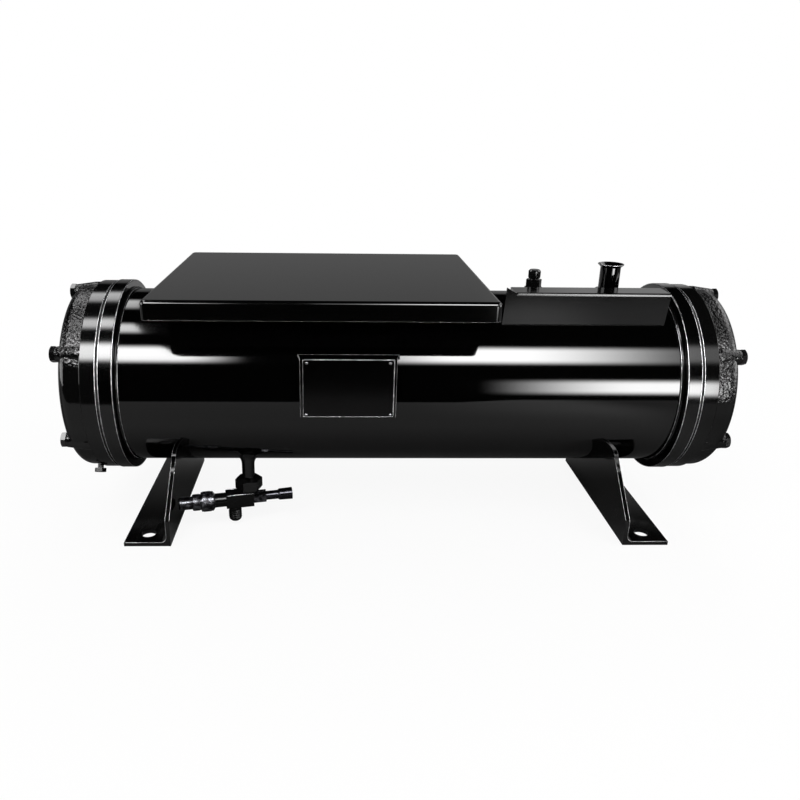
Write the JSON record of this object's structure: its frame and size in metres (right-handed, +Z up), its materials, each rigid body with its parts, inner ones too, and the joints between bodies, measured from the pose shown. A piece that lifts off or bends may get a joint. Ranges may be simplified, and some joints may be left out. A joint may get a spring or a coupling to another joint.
{
  "type": "shell and tube heat exchanger",
  "caption": "Horizontal shell and tube heat exchanger on feet, with bolted cast end covers, a flat platform over the shell, a gas inlet on top and an angle valve below.",
  "frame": {"origin": "on the floor, under the middle of the shell", "axes": "+Z up, +X along the shell axis, -Y towards the side with the nameplate"},
  "size_m": [0.8015, 0.314, 0.329],
  "materials": {
    "shell_paint": "gloss black enamel",
    "header_paint": "gloss black enamel over a rough casting",
    "foot_paint": "gloss black enamel",
    "platform_paint": "satin black enamel",
    "valve_paint": "gloss black enamel",
    "fitting_paint": "gloss black enamel over turned steel",
    "bright_metal": "bare turned steel",
    "nameplate": "black anodised",
    "gasket": "matt black fibre"
  },
  "bodies": {
    "root": {"shell": "shell_paint", "left_tube_sheet": "shell_paint", "right_tube_sheet": "shell_paint", "left_gasket": "gasket", "right_gasket": "gasket", "left_header": "header_paint", "right_header": "header_paint", "drain_plug": "fitting_paint", "left_foot": "foot_paint", "right_foot": "foot_paint", "platform": "platform_paint", "left_saddle": "platform_paint", "right_saddle": "platform_paint", "shelf_bracket": "shell_paint", "nameplate_bracket": "shell_paint", "nameplate": "nameplate", "inlet_collar": "shell_paint", "inlet_stub": "shell_paint", "service_boss": "shell_paint", "service_fitting": "fitting_paint", "service_cap": "fitting_paint", "outlet_neck": "shell_paint", "valve_union_nut": "fitting_paint", "valve_body": "valve_paint", "valve_gland": "bright_metal", "valve_spindle_cap": "bright_metal", "valve_gauge_port": "valve_paint", "outlet_nut": "bright_metal", "outlet_tube": "bright_metal", "outlet_sleeve": "bright_metal"}
  },
  "joints": []
}
